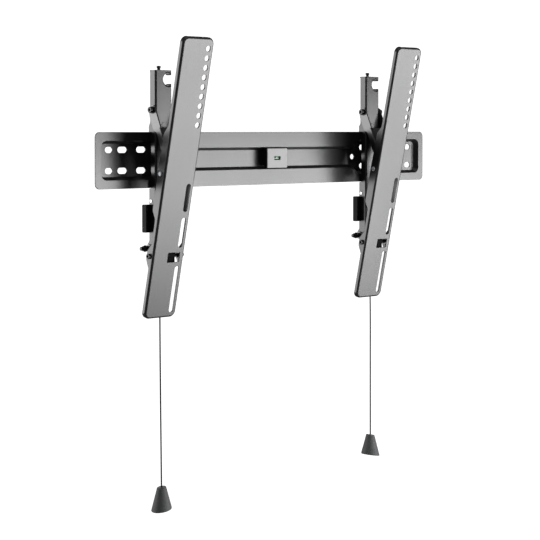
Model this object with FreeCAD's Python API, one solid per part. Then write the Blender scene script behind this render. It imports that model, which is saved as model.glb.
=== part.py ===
import FreeCAD, Part
import math
import os

# Tilting wall bracket for a flat screen. Millimetres.
# +X runs along the wall plate, +Y points into the wall, +Z is up.
# The wall is the plane y = 0, and the origin is the middle of the wall plate's back.

V = FreeCAD.Vector

# Wall plate, a pressed steel channel with tall pads at both ends
PLATE_LENGTH = 738.0
PLATE_HEIGHT = 88.0
PLATE_DEPTH = 11.0
PLATE_SHEET = 2.0
PLATE_CORNER = 8.5
TROUGH_END_MARGIN = 11.5
PAD_HALF_HEIGHT = 30.5
WAIST_HALF_HEIGHT = 18.4
WAIST_END = 186.0
PAD_START = 206.0
TROUGH_SLOPE = 4.6
TROUGH_WALL_OFFSET = 1.4
TROUGH_CORNER = 10.0
SLOT_HEIGHT = 9.5
OUTER_SLOT_LENGTH = 14.5
INNER_SLOT_LENGTH = 18.5
SLOT_ROW_HALF_SPACING = 16.3
OUTER_SLOT_X = 337.0
INNER_SLOT_XS = (311.0, 274.5, 222.0)
ROUND_HOLE_X = 195.0
LEVEL_SCREW_HALF_SPACING = 15.0

# Spirit level clipped into the middle of the trough
LEVEL_WIDTH = 46.0
LEVEL_HEIGHT = 34.0
LEVEL_FACE_Y = -19.5
LEVEL_FACE_SHEET = 1.6
LEVEL_FACE_MARGIN = 0.8
LEVEL_CAP_DEPTH = 5.4
LEVEL_BODY_HEIGHT = 25.0
LEVEL_EDGE = 0.8
WINDOW_WIDTH = 14.6
WINDOW_HEIGHT = 6.2
VIAL_RADIUS = 3.6
VIAL_LENGTH = 26.0
VIAL_CLEARANCE = 0.15

# Places of the two tilting arms along the plate
LEFT_ARM_X = -253.0
RIGHT_ARM_X = 217.0

# Tilting arm, a drawn tray with deeper ears
ARM_LENGTH = 448.0
ARM_WIDTH = 61.7
ARM_SHEET = 2.0
ARM_FLANGE = 8.0
ARM_CORNER = 10.5
ARM_BEND = 3.6
ARM_FACE_Y = -71.5
ARM_MIDDLE_Z = -30.5
REST_TILT_DEG = 12.8
EAR_DEPTH = 17.5
EAR_TOP = 84.0
EAR_TOP_RAMP = 14.0
EAR_BOTTOM = -64.0
EAR_BOTTOM_RAMP = 12.0
LOWER_EAR_RADIUS = 7.0
HOLE_COLUMN_X = 20.0
HOLE_DIAMETER = 9.2
HOLE_PITCH = 15.0
HOLE_COUNT = 9
HOLE_TOP = 207.0
ARM_SLOT_WIDTH = 8.6
ARM_SLOTS = ((-51.5, -6.5), (-109.5, -61.0), (-215.5, -139.5))
WINDOW_CUT_X = 10.0
WINDOW_CUT_S = -125.0
WINDOW_CUT_WIDTH = 24.0
WINDOW_CUT_HEIGHT = 16.0

# Hook bracket, a folded channel that hangs on the wall plate
BRACKET_HALF_WIDTH = 16.5
BRACKET_SHEET = 2.2
BRACKET_BEND = 3.0
BRACKET_FRONT = -23.0
BRACKET_TOP = 141.0
BRACKET_REAR_UPPER = -9.0
BRACKET_REAR_LOWER = -6.5
BRACKET_WEB_END = -128.0
PLATE_GAP = 0.3
HOOK_DROP = 8.0
HOOK_THICKNESS = 3.2
HOOK_HEIGHT = 9.0
GRIP_HOLE_RADIUS = 9.7
GRIP_HOLE_RIM = 12.4
GRIP_HOLE_X = 9.5
GRIP_HOLE_Z = 126.6
DIMPLE_RADIUS = 4.2
DIMPLE_Z = 55.0
SCREW_Y = -10.0
SCREW_RADIUS = 2.5
SCREW_HEAD_RADIUS = 3.3
SCREW_HEAD_HEIGHT = 4.0
SCREW_HEAD_LIFT = 3.0
SPRING_TAB_HALF_WIDTH = 4.0
SPRING_TAB_THICKNESS = 2.0

# Linkage
UPPER_PIVOT = (-18.0, 78.5)
LOWER_PIVOT = (-7.5, -139.0)
ARM_UPPER_PIVOT = (11.0, 8.0)
ARM_LOWER_PIVOT = (9.3, -123.6)
LINK_SHEET = 2.2
LINK_GAP = 0.4
LINK_OUTER = BRACKET_HALF_WIDTH + LINK_GAP + LINK_SHEET

# The links stand beside the arm's right ear, with the short spacers between
SHORT_SPACER_LENGTH = 1.75
MECHANISM_OFFSET = ARM_WIDTH / 2 - ARM_SHEET - SHORT_SPACER_LENGTH - LINK_OUTER
PIVOT_CLEARANCE = 0.06
STACK_CLEARANCE = 0.2
UPPER_PIN_RADIUS = 3.0
LOWER_PIN_RADIUS = 2.5
OPEN_PIVOT_CLEARANCE = 1.25
OPEN_PIVOT_SHIFT = (0.0, -1.0)
LINK_FRONT = 7.0
LINK_SHOULDER = 11.0
LINK_SHOULDER_END = 30.0
LINK_WAIST = 5.5
LINK_EYE = 6.5
LINK_WEB_START = 34.0
LINK_WEB_STOP = 10.0
LINK_BEND = 2.6
LOWER_LINK_EYE = 6.2
LOWER_LINK_OUTER_EYE = 6.3
LOWER_LINK_WEB = (13.0, 23.0)

# Bolts, nuts, washers, rivets and spacers
BOLT_HEAD_RADIUS = 4.9
BOLT_HEAD_LENGTH = 5.0
BOLT_SOCKET_RADIUS = 2.4
BOLT_SOCKET_DEPTH = 2.6
NUT_RADIUS = 5.6
NUT_LENGTH = 4.6
THREAD_PROUD = 1.6
WASHER_RADIUS = 6.0
WASHER_THICKNESS = 0.9
RIVET_HEAD_RADIUS = 4.0
RIVET_HEAD_LENGTH = 1.7
SPACER_WALL = 2.4
LOWER_HEAD_RADIUS = 4.2
LOWER_HEAD_LENGTH = 3.8
LOWER_NUT_RADIUS = 4.7
LOWER_NUT_LENGTH = 3.8
LOWER_TAIL = 11.5

# Latch, spring, pull cord and handle
LATCH_HALF_WIDTH = 27.0
LATCH_FRONT = -11.5
LATCH_REAR = -1.4
LATCH_TOP = -70.0
LATCH_BOTTOM = -114.0
LATCH_EDGE = 2.0
LATCH_TRAVEL = 10.0
LATCH_GROOVE_CLEARANCE = 0.3
LATCH_NOSE_HALF_WIDTH = 9.0
LATCH_NOSE_FRONT = -20.2
LATCH_NOSE_HEIGHT = 34.0
CATCH_HALF_WIDTH = 9.0
CATCH_THICKNESS = 2.0
CATCH_GAP = 1.2
CATCH_OVERLAP = 8.0
CATCH_SEAT = 12.0
CATCH_FIT = 0.05
LATCH_PIN_RADIUS = 1.6
LATCH_PIN_Y = -11.2
LATCH_PIN_Z = -64.6
LATCH_PIN_HEAD = 2.6
SPRING_RADIUS = 2.0
SPRING_WIRE = 0.8
SPRING_TURNS = 5
SPRING_Y = -17.9
SPRING_END_GAP = 0.1
CORD_DIAMETER = 2.4
CORD_START_Y = -13.0
CORD_LOW_Y = -12.4
CORD_INSERT = 5.0
CORD_FIT = 0.05
HANDLE_INSERT = 6.0
HANDLE_BORE_FIT = 0.25
HANDLE_AXIS_Y = -15.9
HANDLE_TOP_RADIUS = 6.3
HANDLE_BOTTOM_RADIUS = 15.4
HANDLE_HEIGHT = 36.0
HANDLE_EDGE = 1.4
HANDLE_RECESS = 1.5
LEFT_HANDLE_TOP = -515.0
RIGHT_HANDLE_TOP = -492.0


def side_place(x):
    """Maps (y, z) to a point on the plane at x."""
    return lambda y, z: V(x, y, z)


def front_place(y):
    """Maps (x, z) to a point on the plane at y."""
    return lambda x, z: V(x, y, z)


def rounded_wire(points, place):
    """A closed outline through (u, v, corner radius) points, with true arcs at its corners."""
    corners = []
    count = len(points)
    for i in range(count):
        u, v, radius = points[i]
        before = points[i - 1]
        after = points[(i + 1) % count]
        to_before = V(before[0] - u, before[1] - v, 0).normalize()
        to_after = V(after[0] - u, after[1] - v, 0).normalize()
        corner = V(u, v, 0)
        if radius <= 0:
            corners.append((corner, None, corner))
            continue
        half = to_before.getAngle(to_after) / 2
        reach = radius / math.tan(half)
        bisector = (to_before + to_after).normalize()
        middle = corner + bisector * (radius / math.sin(half) - radius)
        corners.append((corner + to_before * reach, middle, corner + to_after * reach))
    edges = []
    for i in range(count):
        start, middle, end = corners[i]
        following = corners[(i + 1) % count][0]
        if middle is not None:
            arc = Part.Arc(place(start.x, start.y), place(middle.x, middle.y), place(end.x, end.y))
            edges.append(arc.toShape())
        if (following - end).Length > 1e-6:
            edges.append(Part.makeLine(place(end.x, end.y), place(following.x, following.y)))
    return Part.Wire(edges)


def side_prism(points, x_low, x_high):
    """A (y, z) outline carried from x_low to x_high."""
    return Part.Face(rounded_wire(points, side_place(x_low))).extrude(V(x_high - x_low, 0, 0))


def front_prism(points, y_low, y_high):
    """An (x, z) outline carried from y_low to y_high."""
    return Part.Face(rounded_wire(points, front_place(y_low))).extrude(V(0, y_high - y_low, 0))


def rectangle(x_low, x_high, z_low, z_high, radius):
    """The four corners of a rectangle with one corner radius."""
    return [
        (x_low, z_low, radius),
        (x_high, z_low, radius),
        (x_high, z_high, radius),
        (x_low, z_high, radius),
    ]


def box(x_low, x_high, y_low, y_high, z_low, z_high):
    """A box between two corners."""
    return Part.makeBox(x_high - x_low, y_high - y_low, z_high - z_low, V(x_low, y_low, z_low))


def x_cylinder(radius, x_low, x_high, y, z):
    """A round bar along X."""
    return Part.makeCylinder(radius, x_high - x_low, V(x_low, y, z), V(1, 0, 0))


def z_cylinder(radius, z_low, z_high, x, y):
    """A round bar along Z."""
    return Part.makeCylinder(radius, z_high - z_low, V(x, y, z_low), V(0, 0, 1))


def x_hexagon(radius, x_low, x_high, y, z):
    """A hexagonal bar along X, with one flat facing up."""
    points = []
    for i in range(6):
        angle = math.radians(60 * i)
        points.append((y + radius * math.cos(angle), z + radius * math.sin(angle), 0))
    return side_prism(points, x_low, x_high)


def folded_channel(half_outer, front, back, sheet, bend, z_low, z_high):
    """An upright channel folded from sheet, open towards the wall."""
    inner = half_outer - sheet
    inner_bend = max(bend - sheet, 0.3)
    points = [
        (-half_outer, back, 0),
        (-half_outer, front, bend),
        (half_outer, front, bend),
        (half_outer, back, 0),
        (inner, back, 0),
        (inner, front + sheet, inner_bend),
        (-inner, front + sheet, inner_bend),
        (-inner, back, 0),
    ]
    section = Part.Face(rounded_wire(points, lambda x, y: V(x, y, z_low)))
    return section.extrude(V(0, 0, z_high - z_low))


def edges_where(shape, test):
    """The edges of a shape whose bounding box passes a test."""
    return [edge for edge in shape.Edges if test(edge.BoundBox)]


def fuse_all(shapes):
    """One solid from several that meet."""
    return shapes[0].multiFuse(shapes[1:]).removeSplitter()


def arm_to_row(shape, arm_x):
    """Leans a piece modelled on the upright arm to the rest tilt and moves it to its arm."""
    turned = shape.copy()
    turned.rotate(V(0, 0, 0), V(1, 0, 0), REST_TILT_DEG)
    turned.translate(V(arm_x, ARM_FACE_Y, ARM_MIDDLE_Z))
    return turned


def arm_point(depth, along):
    """The (y, z) place of a point of the arm at rest, from its depth behind the face."""
    tilt = math.radians(REST_TILT_DEG)
    y = ARM_FACE_Y - along * math.sin(tilt) + depth * math.cos(tilt)
    z = ARM_MIDDLE_Z + along * math.cos(tilt) + depth * math.sin(tilt)
    return y, z


def link_geometry(pivot, far):
    """The length of a link and its lean forward from straight down, in degrees."""
    forward = pivot[0] - far[0]
    down = pivot[1] - far[1]
    return math.hypot(forward, down), math.degrees(math.atan2(forward, down))


def link_to_row(shape, pivot, lean, x):
    """Leans a link modelled hanging straight down from its pivot, and moves it there."""
    turned = shape.copy()
    turned.rotate(V(0, 0, 0), V(1, 0, 0), -lean)
    turned.translate(V(x, pivot[0], pivot[1]))
    return turned


def trough_outline(inset, y):
    """The trough's outline, a low waist between two tall pads, drawn in by inset."""
    end = PLATE_LENGTH / 2 - TROUGH_END_MARGIN - inset
    tall = PAD_HALF_HEIGHT - inset
    low = WAIST_HALF_HEIGHT - inset
    start = PAD_START + inset * 0.5
    stop = WAIST_END + inset * 0.5
    corner = TROUGH_CORNER - inset * 0.5
    bend = 6.0
    quarter = [(stop, low, bend), (start, tall, bend), (end, tall, corner)]
    right = quarter + [(x, -z, r) for x, z, r in reversed(quarter)]
    left = [(-x, -z, r) for x, z, r in right]
    return rounded_wire(right + left, front_place(y))


def wall_slot(x, z, length):
    """A level slot through the trough's floor."""
    half = length / 2
    low = z - SLOT_HEIGHT / 2
    high = z + SLOT_HEIGHT / 2
    points = rectangle(x - half, x + half, low, high, SLOT_HEIGHT / 2 - 0.001)
    return front_prism(points, -PLATE_DEPTH, 1.0)


def wall_plate():
    half_length = PLATE_LENGTH / 2
    half_height = PLATE_HEIGHT / 2
    front = -PLATE_DEPTH
    back = front + PLATE_SHEET
    sheet = rectangle(-half_length, half_length, -half_height, half_height, PLATE_CORNER)
    flange = front_prism(sheet, front, back)
    outside = Part.makeLoft(
        [
            trough_outline(-TROUGH_WALL_OFFSET, back - PLATE_SHEET / 2),
            trough_outline(TROUGH_SLOPE - TROUGH_WALL_OFFSET, 0.0),
        ],
        True,
        True,
    )
    inside = Part.makeLoft(
        [trough_outline(0.0, front), trough_outline(TROUGH_SLOPE, -PLATE_SHEET)], True, True
    )
    plate = flange.fuse(outside).cut(inside)
    cutters = []
    for side in (-1, 1):
        for row in (-SLOT_ROW_HALF_SPACING, SLOT_ROW_HALF_SPACING):
            cutters.append(wall_slot(side * OUTER_SLOT_X, row, OUTER_SLOT_LENGTH))
            for x in INNER_SLOT_XS:
                cutters.append(wall_slot(side * x, row, INNER_SLOT_LENGTH))
        hole = Part.makeCylinder(
            SLOT_HEIGHT / 2, PLATE_DEPTH + 1, V(side * ROUND_HOLE_X, front, 0), V(0, 1, 0)
        )
        cutters.append(hole)
    return plate.cut(Part.makeCompound(cutters)).removeSplitter()


def vial_height_y():
    """How far in front of the wall the vial's axis lies."""
    return LEVEL_FACE_Y + VIAL_RADIUS + LEVEL_FACE_SHEET


def level_window():
    """The opening in front of the vial."""
    half_width = WINDOW_WIDTH / 2
    half_height = WINDOW_HEIGHT / 2
    points = rectangle(-half_width, half_width, -half_height, half_height, 1.4)
    return front_prism(points, LEVEL_FACE_Y - 1, vial_height_y())


def level_housing():
    half = LEVEL_WIDTH / 2
    cap_front = LEVEL_FACE_Y + LEVEL_FACE_SHEET
    cap_back = cap_front + LEVEL_CAP_DEPTH
    cap = box(-half, half, cap_front, cap_back, -LEVEL_HEIGHT / 2, LEVEL_HEIGHT / 2)
    cap = cap.makeFillet(
        LEVEL_EDGE, edges_where(cap, lambda b: b.YLength > LEVEL_CAP_DEPTH - 0.01)
    )
    half_body = LEVEL_BODY_HEIGHT / 2
    body = box(-half + 1, half - 1, cap_back, -PLATE_SHEET, -half_body, half_body)
    shell = cap.fuse(body).removeSplitter()
    reach = VIAL_LENGTH / 2 + VIAL_CLEARANCE
    bore = x_cylinder(VIAL_RADIUS + VIAL_CLEARANCE, -reach, reach, vial_height_y(), 0)
    return shell.cut(bore).cut(level_window())


def level_face():
    half = LEVEL_WIDTH / 2 - LEVEL_FACE_MARGIN
    tall = LEVEL_HEIGHT / 2 - LEVEL_FACE_MARGIN
    back = LEVEL_FACE_Y + LEVEL_FACE_SHEET
    face = front_prism(rectangle(-half, half, -tall, tall, LEVEL_EDGE), LEVEL_FACE_Y, back)
    rim = edges_where(face, lambda b: b.YMax < LEVEL_FACE_Y + 0.01)
    face = face.makeFillet(0.5, rim)
    reach = VIAL_LENGTH / 2 + VIAL_CLEARANCE
    bore = x_cylinder(VIAL_RADIUS + VIAL_CLEARANCE, -reach, reach, vial_height_y(), 0)
    return face.cut(level_window()).cut(bore)


def level_vial():
    half = VIAL_LENGTH / 2
    vial = x_cylinder(VIAL_RADIUS, -half, half, vial_height_y(), 0)
    ends = edges_where(vial, lambda b: b.XLength < 0.01)
    return vial.makeFillet(VIAL_RADIUS * 0.45, ends)


def hook_bracket():
    half = BRACKET_HALF_WIDTH
    edge = PLATE_HEIGHT / 2
    plate_front = -PLATE_DEPTH - PLATE_GAP
    flange_back = -PLATE_DEPTH + PLATE_SHEET + PLATE_GAP
    hook_back = flange_back + HOOK_THICKNESS
    pivot_y, pivot_z = LOWER_PIVOT
    ear = LOWER_LINK_EYE
    profile = [
        (BRACKET_FRONT, BRACKET_TOP, 0),
        (BRACKET_FRONT, BRACKET_WEB_END, 2.0),
        (pivot_y - ear - 1.0, pivot_z + 3.0, 2.0),
        (pivot_y - ear, pivot_z - ear, ear - 0.3),
        (pivot_y + ear, pivot_z - ear, ear - 0.3),
        (pivot_y + ear, pivot_z + 5.0, 3.0),
        (BRACKET_REAR_LOWER, BRACKET_WEB_END + 1.0, 3.0),
        (BRACKET_REAR_LOWER, -edge - 0.6, 1.5),
        (plate_front, -edge - 0.6, 0.5),
        (plate_front, edge + PLATE_GAP, 0.5),
        (flange_back, edge + PLATE_GAP, 0.5),
        (flange_back, edge - HOOK_DROP, 0.5),
        (hook_back, edge - HOOK_DROP, 1.5),
        (hook_back, edge + HOOK_HEIGHT, 2.0),
        (BRACKET_REAR_UPPER, edge + HOOK_HEIGHT + 6.0, 3.0),
        (BRACKET_REAR_UPPER, BRACKET_TOP, 1.5),
    ]
    inner = half - BRACKET_SHEET
    web_back = BRACKET_FRONT + BRACKET_SHEET
    channel = folded_channel(
        half, BRACKET_FRONT, 5.0, BRACKET_SHEET, BRACKET_BEND, pivot_z - 20, BRACKET_TOP
    )
    bracket = channel.common(side_prism(profile, -half - 1, half + 1))
    top_tab = box(
        -inner + PLATE_GAP,
        inner - PLATE_GAP,
        web_back - 0.01,
        SCREW_Y + 5.0,
        BRACKET_TOP - BRACKET_SHEET,
        BRACKET_TOP,
    )
    spring_tab = box(
        -SPRING_TAB_HALF_WIDTH,
        SPRING_TAB_HALF_WIDTH,
        web_back - 0.01,
        SPRING_Y + SPRING_RADIUS + 0.4,
        BRACKET_WEB_END + 1.0,
        BRACKET_WEB_END + 1.0 + SPRING_TAB_THICKNESS,
    )
    dimple = Part.makeCylinder(DIMPLE_RADIUS, 0.5, V(0, BRACKET_FRONT - 0.4, DIMPLE_Z), V(0, 1, 0))
    bracket = fuse_all([bracket, top_tab, spring_tab, dimple])
    grip = Part.makeCylinder(
        GRIP_HOLE_RADIUS, 30, V(GRIP_HOLE_X, BRACKET_FRONT - 1, GRIP_HOLE_Z), V(0, 1, 0)
    )
    rim_depth = BRACKET_SHEET * 0.8
    rim = Part.makeCone(
        GRIP_HOLE_RIM,
        GRIP_HOLE_RADIUS,
        rim_depth,
        V(GRIP_HOLE_X, BRACKET_FRONT - 0.001, GRIP_HOLE_Z),
        V(0, 1, 0),
    )
    upper = x_cylinder(UPPER_PIN_RADIUS + PIVOT_CLEARANCE, -half - 1, half + 1, *UPPER_PIVOT)
    lower = x_cylinder(LOWER_PIN_RADIUS + PIVOT_CLEARANCE, -half - 1, half + 1, *LOWER_PIVOT)
    pin = x_cylinder(LATCH_PIN_RADIUS, -half - 1, half + 1, LATCH_PIN_Y, LATCH_PIN_Z)
    screw = z_cylinder(
        SCREW_RADIUS + PIVOT_CLEARANCE, BRACKET_TOP - 5, BRACKET_TOP + 1, 0, SCREW_Y
    )
    return bracket.cut(Part.makeCompound([grip, rim, upper, lower, pin, screw])).removeSplitter()


def height_screw():
    tip = PLATE_HEIGHT / 2 + PLATE_GAP
    head_low = BRACKET_TOP + SCREW_HEAD_LIFT
    shank = z_cylinder(SCREW_RADIUS, tip, head_low, 0, SCREW_Y)
    tip_edges = edges_where(shank, lambda b: b.ZMax < tip + 0.01)
    shank = shank.makeChamfer(0.8, tip_edges)
    head = z_cylinder(SCREW_HEAD_RADIUS, head_low, head_low + SCREW_HEAD_HEIGHT, 0, SCREW_Y)
    head = head.makeFillet(0.6, edges_where(head, lambda b: b.ZLength < 0.01))
    slot_low = head_low + SCREW_HEAD_HEIGHT - 1.2
    slot = box(-5, 5, SCREW_Y - 0.5, SCREW_Y + 0.5, slot_low, slot_low + 3)
    return shank.fuse(head).removeSplitter().cut(slot)


def upper_link(length):
    inner = BRACKET_HALF_WIDTH + LINK_GAP
    outer = inner + LINK_SHEET
    profile = [
        (-LINK_FRONT, 7.5, 6.5),
        (8.0, 7.5, 6.5),
        (LINK_SHOULDER, -8.0, 4.0),
        (LINK_SHOULDER, -LINK_SHOULDER_END, 2.5),
        (LINK_WAIST, -LINK_SHOULDER_END - 7.0, 4.0),
        (LINK_EYE, -length - LINK_EYE, LINK_EYE - 0.2),
        (-LINK_FRONT, -length - LINK_EYE, LINK_EYE - 0.2),
    ]
    web_high = -LINK_WEB_START
    web_low = -length + LINK_WEB_STOP
    front = -LINK_FRONT
    folded = folded_channel(outer, front, 15.0, LINK_SHEET, LINK_BEND, web_low, web_high)
    cheeks = []
    for low, high in ((-outer, -inner), (inner, outer)):
        cheeks.append(box(low, high, front + LINK_BEND, 15.0, -length - 10, 10))
        cheeks.append(box(low, high, front, front + LINK_BEND, web_high + 1, 10))
        cheeks.append(box(low, high, front, front + LINK_BEND, -length - 10, web_low - 1))
    solid = fuse_all([folded] + cheeks).common(side_prism(profile, -outer - 1, outer + 1))
    hole = UPPER_PIN_RADIUS + PIVOT_CLEARANCE
    top_hole = x_cylinder(hole, -outer - 1, outer + 1, 0, 0)
    end_hole = x_cylinder(hole, -outer - 1, outer + 1, 0, -length)
    return solid.cut(Part.makeCompound([top_hole, end_hole])).removeSplitter()


def lower_link(length, shift):
    inner = BRACKET_HALF_WIDTH + LINK_GAP
    outer = inner + LINK_SHEET
    small = LOWER_LINK_EYE
    large = LOWER_LINK_OUTER_EYE
    profile = [
        (-small, small, small - 0.2),
        (small, small, small - 0.2),
        (large, -length - large, large - 0.4),
        (-large, -length - large, large - 0.4),
    ]
    solid = side_prism(profile, -outer, outer)
    start, stop = LOWER_LINK_WEB
    beyond = length
    hollow = box(-inner, inner, -large + LINK_SHEET, beyond, -length - beyond, beyond)
    above_web = box(-inner, inner, -beyond, beyond, -start, beyond)
    below_web = box(-inner, inner, -beyond, beyond, -length - beyond, -stop)
    hole = x_cylinder(LOWER_PIN_RADIUS + PIVOT_CLEARANCE, -outer - 1, outer + 1, 0, 0)
    open_hole = x_cylinder(
        LOWER_PIN_RADIUS + OPEN_PIVOT_CLEARANCE, -outer - 1, outer + 1, shift[0], -length + shift[1]
    )
    link = solid.cut(hollow).cut(above_web).cut(below_web).cut(hole).cut(open_hole)
    return link.removeSplitter()


def tilt_arm():
    half_width = ARM_WIDTH / 2
    half_length = ARM_LENGTH / 2
    outline = rectangle(-half_width, half_width, -half_length, half_length, ARM_CORNER)
    blank = front_prism(outline, 0, ARM_FLANGE)
    blank = blank.makeFillet(ARM_BEND, edges_where(blank, lambda b: b.YMax < 0.01))
    sheet = ARM_SHEET
    inset = rectangle(
        -half_width + sheet,
        half_width - sheet,
        -half_length + sheet,
        half_length - sheet,
        ARM_CORNER - sheet,
    )
    hollow = front_prism(inset, sheet, ARM_FLANGE + 1)
    hollow = hollow.makeFillet(
        ARM_BEND - sheet, edges_where(hollow, lambda b: b.YMax < sheet + 0.01)
    )
    tray = blank.cut(hollow)
    upper_ear = [
        (ARM_BEND, EAR_TOP, 0),
        (ARM_FLANGE, EAR_TOP, 2.0),
        (EAR_DEPTH - 1.5, EAR_TOP - EAR_TOP_RAMP, 5.0),
        (EAR_DEPTH, ARM_UPPER_PIVOT[1], 20.0),
        (EAR_DEPTH - 0.5, EAR_BOTTOM + EAR_BOTTOM_RAMP, 4.0),
        (ARM_FLANGE, EAR_BOTTOM, 2.0),
        (ARM_BEND, EAR_BOTTOM, 0),
    ]
    depth, along = ARM_LOWER_PIVOT
    radius = LOWER_EAR_RADIUS
    lower_ear = [
        (ARM_BEND, along + 20, 0),
        (ARM_FLANGE - 0.2, along + 20, 2.0),
        (depth + radius, along + radius, radius - 0.5),
        (depth + radius, along - radius, radius - 0.5),
        (ARM_FLANGE - 0.2, along - 20, 2.0),
        (ARM_BEND, along - 20, 0),
    ]
    ears = []
    for low in (-half_width, half_width - sheet):
        ears.append(side_prism(upper_ear, low, low + sheet))
        ears.append(side_prism(lower_ear, low, low + sheet))
    arm = fuse_all([tray] + ears)
    cutters = []
    for i in range(HOLE_COUNT):
        centre = V(HOLE_COLUMN_X, -1, HOLE_TOP - i * HOLE_PITCH)
        cutters.append(Part.makeCylinder(HOLE_DIAMETER / 2, sheet + 2, centre, V(0, 1, 0)))
    half_slot = ARM_SLOT_WIDTH / 2
    for low, high in ARM_SLOTS:
        points = rectangle(
            HOLE_COLUMN_X - half_slot, HOLE_COLUMN_X + half_slot, low, high, half_slot - 0.001
        )
        cutters.append(front_prism(points, -1, sheet + 1))
    points = rectangle(
        WINDOW_CUT_X - WINDOW_CUT_WIDTH / 2,
        WINDOW_CUT_X + WINDOW_CUT_WIDTH / 2,
        WINDOW_CUT_S - WINDOW_CUT_HEIGHT / 2,
        WINDOW_CUT_S + WINDOW_CUT_HEIGHT / 2,
        1.2,
    )
    cutters.append(front_prism(points, -1, sheet + 1))
    reach = half_width + 1
    cutters.append(x_cylinder(UPPER_PIN_RADIUS, -reach, reach, *ARM_UPPER_PIVOT))
    cutters.append(x_cylinder(LOWER_PIN_RADIUS, -reach, reach, depth, along))
    return arm.cut(Part.makeCompound(cutters)).removeSplitter()


def socket_bolt(radius, head_radius, head_length, x_head, x_tip, y, z):
    """A bolt along X with its socket head on the -X side."""
    shank = x_cylinder(radius, x_head, x_tip, y, z)
    head = x_cylinder(head_radius, x_head - head_length, x_head, y, z)
    outer_rim = edges_where(head, lambda b: b.XMax < x_head - head_length + 0.01)
    head = head.makeFillet(0.7, outer_rim)
    socket = x_hexagon(
        BOLT_SOCKET_RADIUS, x_head - head_length - 1, x_head - head_length + BOLT_SOCKET_DEPTH, y, z
    )
    return shank.fuse(head).removeSplitter().cut(socket)


def hex_nut(bore_radius, radius, x_low, x_high, y, z):
    """A hexagonal nut along X with chamfered corners."""
    body = x_hexagon(radius, x_low, x_high, y, z)
    crown = x_cylinder(radius * 0.985, x_low, x_high, y, z)
    crown = crown.makeChamfer(radius * 0.09, edges_where(crown, lambda b: b.XLength < 0.01))
    return body.common(crown).cut(x_cylinder(bore_radius, x_low - 1, x_high + 1, y, z))


def tube(inner, outer, x_low, x_high, y, z):
    """A washer or spacer along X."""
    return x_cylinder(outer, x_low, x_high, y, z).cut(
        x_cylinder(inner, x_low - 1, x_high + 1, y, z)
    )


def upper_pivot_washers():
    stack = LINK_OUTER + STACK_CLEARANCE
    bore = UPPER_PIN_RADIUS + PIVOT_CLEARANCE
    spans = ((-stack - WASHER_THICKNESS, -stack), (stack, stack + WASHER_THICKNESS))
    washers = [tube(bore, WASHER_RADIUS, low, high, *UPPER_PIVOT) for low, high in spans]
    return Part.makeCompound(washers)


def upper_pivot_bolt():
    seat = LINK_OUTER + STACK_CLEARANCE + WASHER_THICKNESS
    return socket_bolt(
        UPPER_PIN_RADIUS,
        BOLT_HEAD_RADIUS,
        BOLT_HEAD_LENGTH,
        -seat,
        seat + NUT_LENGTH + THREAD_PROUD,
        *UPPER_PIVOT,
    )


def upper_pivot_nut():
    seat = LINK_OUTER + STACK_CLEARANCE + WASHER_THICKNESS
    return hex_nut(UPPER_PIN_RADIUS, NUT_RADIUS, seat, seat + NUT_LENGTH, *UPPER_PIVOT)


def link_sides():
    """The link walls' inner and outer faces on both sides, measured from the arm's middle."""
    inner = BRACKET_HALF_WIDTH + LINK_GAP
    outer = LINK_OUTER
    return (
        (MECHANISM_OFFSET - inner, MECHANISM_OFFSET - outer),
        (MECHANISM_OFFSET + inner, MECHANISM_OFFSET + outer),
    )


def middle_rivets():
    half = ARM_WIDTH / 2
    rivets = []
    for side, (inner, _) in zip((-1, 1), link_sides()):
        near = inner + side * 0.1
        low, high = sorted((near, side * half))
        shank = x_cylinder(UPPER_PIN_RADIUS, low, high, *ARM_UPPER_PIVOT)
        low, high = sorted((side * half, side * (half + RIVET_HEAD_LENGTH)))
        head = x_cylinder(RIVET_HEAD_RADIUS, low, high, *ARM_UPPER_PIVOT)
        rim = edges_where(
            head, lambda b, s=side: abs(b.Center.x - s * (half + RIVET_HEAD_LENGTH)) < 0.01
        )
        head = head.makeFillet(RIVET_HEAD_LENGTH * 0.8, rim)
        rivets.append(shank.fuse(head).removeSplitter())
    return Part.makeCompound(rivets)


def spacers(pin_radius, place):
    """The two spacers that fill the room between the link's walls and the arm's ears."""
    ear_inner = ARM_WIDTH / 2 - ARM_SHEET
    pieces = []
    for side, (_, outer) in zip((-1, 1), link_sides()):
        near = outer + side * STACK_CLEARANCE
        low, high = sorted((near, side * ear_inner))
        bore = pin_radius + PIVOT_CLEARANCE
        pieces.append(tube(bore, pin_radius + SPACER_WALL, low, high, *place))
    return Part.makeCompound(pieces)


def lower_bracket_bolt():
    seat = LINK_OUTER + STACK_CLEARANCE
    bolt = socket_bolt(
        LOWER_PIN_RADIUS, LOWER_HEAD_RADIUS, LOWER_HEAD_LENGTH, -seat, seat + LOWER_TAIL, 0, 0
    )
    bolt.rotate(V(0, 0, 0), V(0, 0, 1), 180)
    bolt.translate(V(0, *LOWER_PIVOT))
    return bolt


def lower_bracket_nut():
    seat = LINK_OUTER + STACK_CLEARANCE
    return hex_nut(
        LOWER_PIN_RADIUS, LOWER_NUT_RADIUS, -seat - LOWER_NUT_LENGTH, -seat, *LOWER_PIVOT
    )


def lower_arm_bolt():
    half = ARM_WIDTH / 2
    return socket_bolt(
        LOWER_PIN_RADIUS,
        LOWER_HEAD_RADIUS,
        LOWER_HEAD_LENGTH,
        -half,
        half + LOWER_NUT_LENGTH + THREAD_PROUD,
        *ARM_LOWER_PIVOT,
    )


def lower_arm_nut():
    half = ARM_WIDTH / 2
    return hex_nut(
        LOWER_PIN_RADIUS, LOWER_NUT_RADIUS, half, half + LOWER_NUT_LENGTH, *ARM_LOWER_PIVOT
    )


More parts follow.
